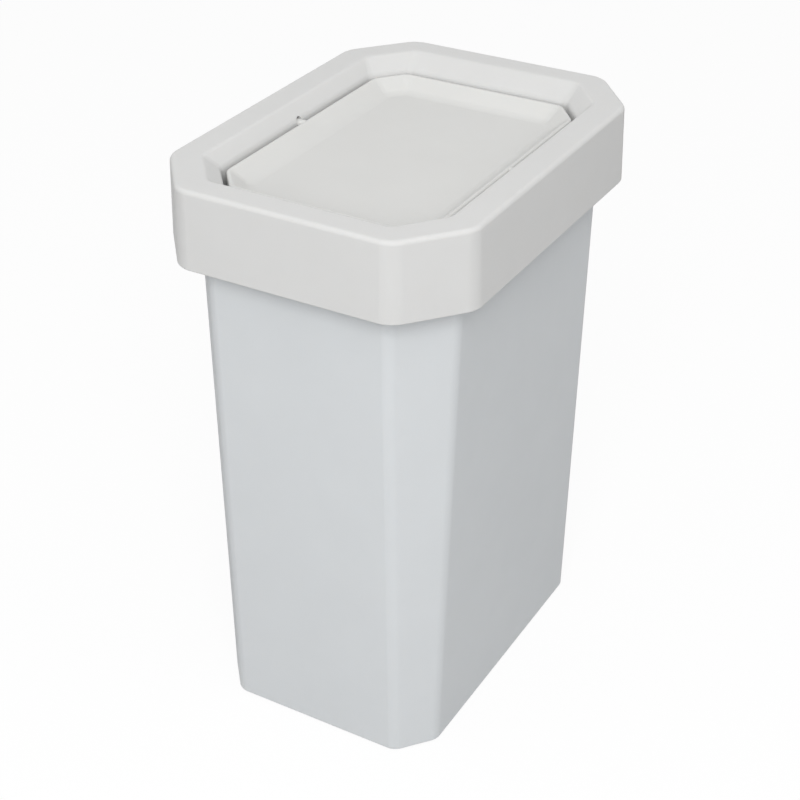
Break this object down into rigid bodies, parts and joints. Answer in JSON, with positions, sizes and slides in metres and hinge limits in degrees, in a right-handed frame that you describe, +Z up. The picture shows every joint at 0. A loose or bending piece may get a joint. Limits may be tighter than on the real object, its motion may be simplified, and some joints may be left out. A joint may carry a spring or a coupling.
{
  "type": "countertop trash can with swing lid",
  "caption": "Small tapered eight-sided table bin with a lift-off lid frame and a dished flap that tips either way on stub pins and levels itself.",
  "frame": {"origin": "middle of the underside, on the surface that the bin stands on", "axes": "+Z up; X across the bin, along the flap's pivot; Y along the bin, with the short front face at -Y"},
  "size_m": [0.1086, 0.147, 0.2],
  "materials": {
    "bin_plastic": "injection-moulded polypropylene, cool white, satin",
    "lid_plastic": "injection-moulded polypropylene, neutral white, satin",
    "flap_plastic": "injection-moulded polypropylene, neutral white, satin"
  },
  "bodies": {
    "bin": {"bin": "bin_plastic"},
    "lid_frame": {"lid_frame": "lid_plastic"},
    "swing_flap": {"swing_flap": "flap_plastic"}
  },
  "joints": [
    {"name": "lid_lift", "type": "slide", "parent": "bin", "child": "lid_frame", "axis": [0, 0, 1], "range_m": [0, 0.06]},
    {"name": "flap_swing", "type": "hinge", "parent": "lid_frame", "child": "swing_flap", "pos_m": [0, 0, 0.1936], "axis": [1, 0, 0], "range_deg": [-85, 85]}
  ]
}
